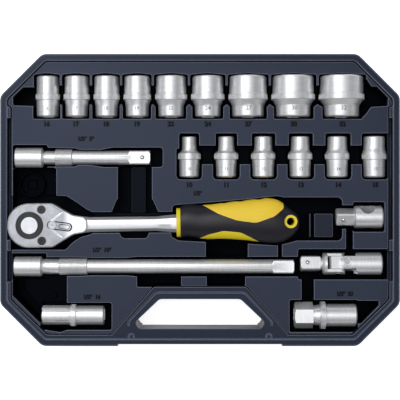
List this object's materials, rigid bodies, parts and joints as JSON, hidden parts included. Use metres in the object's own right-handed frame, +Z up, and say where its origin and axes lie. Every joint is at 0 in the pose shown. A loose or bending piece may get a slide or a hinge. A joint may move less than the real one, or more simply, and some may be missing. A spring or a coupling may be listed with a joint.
{
  "type": "socket wrench set in case",
  "caption": "Half-inch drive sockets, ratchet, extension bars, universal joint and sliding head lying in a moulded open case with a carry handle.",
  "frame": {"origin": "middle of the case's flat underside", "axes": "+X to the right along the case's length, +Y away from the carry handle, +Z up out of the tray"},
  "size_m": [0.374, 0.2734, 0.0526],
  "materials": {
    "case_plastic": "fine grained dark blue-grey moulding",
    "tray_plastic": "fine grained dark blue-grey moulding",
    "satin_chrome": "satin chrome plate",
    "bright_steel": "polished steel",
    "insert_rubber": "soft black rubber",
    "blasted_chrome": "bead-blasted satin",
    "black_steel": "black oxide",
    "grip_black": "soft-touch black",
    "grip_yellow": "soft-touch yellow"
  },
  "bodies": {
    "case": {"case_shell": "case_plastic", "tool_tray": "tray_plastic"},
    "socket_16": {"socket_16": "satin_chrome"},
    "socket_17": {"socket_17": "satin_chrome"},
    "socket_18": {"socket_18": "satin_chrome"},
    "socket_19": {"socket_19": "satin_chrome"},
    "socket_22": {"socket_22": "satin_chrome"},
    "socket_24": {"socket_24": "satin_chrome"},
    "socket_27": {"socket_27": "satin_chrome"},
    "socket_30": {"socket_30": "satin_chrome"},
    "socket_32": {"socket_32": "satin_chrome"},
    "socket_10": {"socket_10": "satin_chrome"},
    "socket_11": {"socket_11": "satin_chrome"},
    "socket_12": {"socket_12": "satin_chrome"},
    "socket_13": {"socket_13": "satin_chrome"},
    "socket_14": {"socket_14": "satin_chrome"},
    "socket_15": {"socket_15": "satin_chrome"},
    "plug_socket_16": {"plug_socket_16": "satin_chrome", "plug_rubber_16": "insert_rubber"},
    "plug_socket_21": {"plug_socket_21": "satin_chrome", "plug_rubber_21": "insert_rubber"},
    "short_bar": {"short_bar": "satin_chrome"},
    "long_bar": {"long_bar": "satin_chrome"},
    "sliding_head": {"sliding_head": "satin_chrome"},
    "universal_joint": {"joint_socket_yoke": "satin_chrome", "joint_socket_pin": "bright_steel"},
    "joint_block": {"joint_block": "satin_chrome"},
    "drive_yoke": {"joint_drive_yoke": "satin_chrome", "joint_drive_pin": "bright_steel"},
    "ratchet": {"ratchet_body": "blasted_chrome", "ratchet_cover": "blasted_chrome", "ratchet_screws": "black_steel", "ratchet_grip": "grip_black", "ratchet_upper_inlay": "grip_yellow", "ratchet_lower_inlay": "grip_yellow", "ratchet_collar": "grip_yellow", "ratchet_hang_ring": "grip_yellow", "ratchet_pawl_pin": "bright_steel"},
    "ratchet_drive": {"ratchet_drive": "black_steel"},
    "ratchet_button": {"ratchet_button": "blasted_chrome"},
    "ratchet_lever": {"ratchet_lever": "blasted_chrome"},
    "ratchet_pawl": {"ratchet_pawl": "black_steel"},
    "short_bar_ball": {"short_bar_ball": "bright_steel"},
    "long_bar_ball": {"long_bar_ball": "bright_steel"},
    "sliding_head_ball": {"sliding_head_ball": "bright_steel"},
    "joint_ball": {"joint_ball": "bright_steel"},
    "ratchet_ball": {"ratchet_ball": "bright_steel"}
  },
  "joints": [
    {"name": "lift_socket_16", "type": "slide", "parent": "case", "child": "socket_16", "axis": [0, 0, 1], "range_m": [0, 0.06]},
    {"name": "lift_socket_17", "type": "slide", "parent": "case", "child": "socket_17", "axis": [0, 0, 1], "range_m": [0, 0.06]},
    {"name": "lift_socket_18", "type": "slide", "parent": "case", "child": "socket_18", "axis": [0, 0, 1], "range_m": [0, 0.06]},
    {"name": "lift_socket_19", "type": "slide", "parent": "case", "child": "socket_19", "axis": [0, 0, 1], "range_m": [0, 0.06]},
    {"name": "lift_socket_22", "type": "slide", "parent": "case", "child": "socket_22", "axis": [0, 0, 1], "range_m": [0, 0.06]},
    {"name": "lift_socket_24", "type": "slide", "parent": "case", "child": "socket_24", "axis": [0, 0, 1], "range_m": [0, 0.06]},
    {"name": "lift_socket_27", "type": "slide", "parent": "case", "child": "socket_27", "axis": [0, 0, 1], "range_m": [0, 0.06]},
    {"name": "lift_socket_30", "type": "slide", "parent": "case", "child": "socket_30", "axis": [0, 0, 1], "range_m": [0, 0.06]},
    {"name": "lift_socket_32", "type": "slide", "parent": "case", "child": "socket_32", "axis": [0, 0, 1], "range_m": [0, 0.06]},
    {"name": "lift_socket_10", "type": "slide", "parent": "case", "child": "socket_10", "axis": [0, 0, 1], "range_m": [0, 0.06]},
    {"name": "lift_socket_11", "type": "slide", "parent": "case", "child": "socket_11", "axis": [0, 0, 1], "range_m": [0, 0.06]},
    {"name": "lift_socket_12", "type": "slide", "parent": "case", "child": "socket_12", "axis": [0, 0, 1], "range_m": [0, 0.06]},
    {"name": "lift_socket_13", "type": "slide", "parent": "case", "child": "socket_13", "axis": [0, 0, 1], "range_m": [0, 0.06]},
    {"name": "lift_socket_14", "type": "slide", "parent": "case", "child": "socket_14", "axis": [0, 0, 1], "range_m": [0, 0.06]},
    {"name": "lift_socket_15", "type": "slide", "parent": "case", "child": "socket_15", "axis": [0, 0, 1], "range_m": [0, 0.06]},
    {"name": "lift_plug_socket_16", "type": "slide", "parent": "case", "child": "plug_socket_16", "axis": [0, 0, 1], "range_m": [0, 0.06]},
    {"name": "lift_plug_socket_21", "type": "slide", "parent": "case", "child": "plug_socket_21", "axis": [0, 0, 1], "range_m": [0, 0.06]},
    {"name": "lift_short_bar", "type": "slide", "parent": "case", "child": "short_bar", "axis": [0, 0, 1], "range_m": [0, 0.06]},
    {"name": "lift_sliding_head", "type": "slide", "parent": "case", "child": "sliding_head", "axis": [0, 0, 1], "range_m": [0, 0.06]},
    {"name": "lift_long_bar", "type": "slide", "parent": "case", "child": "long_bar", "axis": [0, 0, 1], "range_m": [0, 0.06]},
    {"name": "lift_universal_joint", "type": "slide", "parent": "case", "child": "universal_joint", "axis": [0, 0, 1], "range_m": [0, 0.09]},
    {"name": "lift_ratchet", "type": "slide", "parent": "case", "child": "ratchet", "axis": [0, 0, 1], "range_m": [0, 0.08]},
    {"name": "block_swing", "type": "hinge", "parent": "universal_joint", "child": "joint_block", "pos_m": [0.13775, -0.0601, 0.03], "axis": [0, 0.2419, 0.9703], "range_deg": [-7, 7]},
    {"name": "yoke_swing", "type": "hinge", "parent": "joint_block", "child": "drive_yoke", "pos_m": [0.13045, -0.0601, 0.03], "axis": [0, 0.9703, -0.2419], "range_deg": [0, 45]},
    {"name": "drive_spin", "type": "hinge", "parent": "ratchet", "child": "ratchet_drive", "pos_m": [-0.15905, -0.0238, 0.0375], "axis": [0, 0, 1], "continuous": true},
    {"name": "button_press", "type": "slide", "parent": "ratchet_drive", "child": "ratchet_button", "axis": [0, 0, -1], "range_m": [0, 0.0018], "stiffness_N_per_m": 300},
    {"name": "lever_turn", "type": "hinge", "parent": "ratchet", "child": "ratchet_lever", "pos_m": [-0.13745, -0.0235, 0.044], "axis": [0, 0, 1], "range_deg": [0, 16]},
    {"name": "pawl_rock", "type": "hinge", "parent": "ratchet", "child": "ratchet_pawl", "pos_m": [-0.14085, -0.02355, 0.0375], "axis": [0, 0, 1], "range_deg": [-4, 4]},
    {"name": "short_bar_ball_press", "type": "slide", "parent": "short_bar", "child": "short_bar_ball", "axis": [0, 0, -1], "range_m": [0, 0.0009], "stiffness_N_per_m": 500},
    {"name": "long_bar_ball_press", "type": "slide", "parent": "long_bar", "child": "long_bar_ball", "axis": [0, 0, 1], "range_m": [0, 0.0009], "stiffness_N_per_m": 500},
    {"name": "sliding_head_ball_press", "type": "slide", "parent": "sliding_head", "child": "sliding_head_ball", "axis": [0, 0.4848, -0.8746], "range_m": [0, 0.0009], "stiffness_N_per_m": 500},
    {"name": "joint_ball_press", "type": "slide", "parent": "drive_yoke", "child": "joint_ball", "axis": [0, -0.2419, -0.9703], "range_m": [0, 0.0009], "stiffness_N_per_m": 500},
    {"name": "ratchet_ball_press", "type": "slide", "parent": "ratchet_drive", "child": "ratchet_ball", "axis": [-0.9999, -0.014, 0], "range_m": [0, 0.0009], "stiffness_N_per_m": 500}
  ],
  "couplings": [
    {"joint": "pawl_rock", "follows": "lever_turn", "ratio": -0.2}
  ]
}
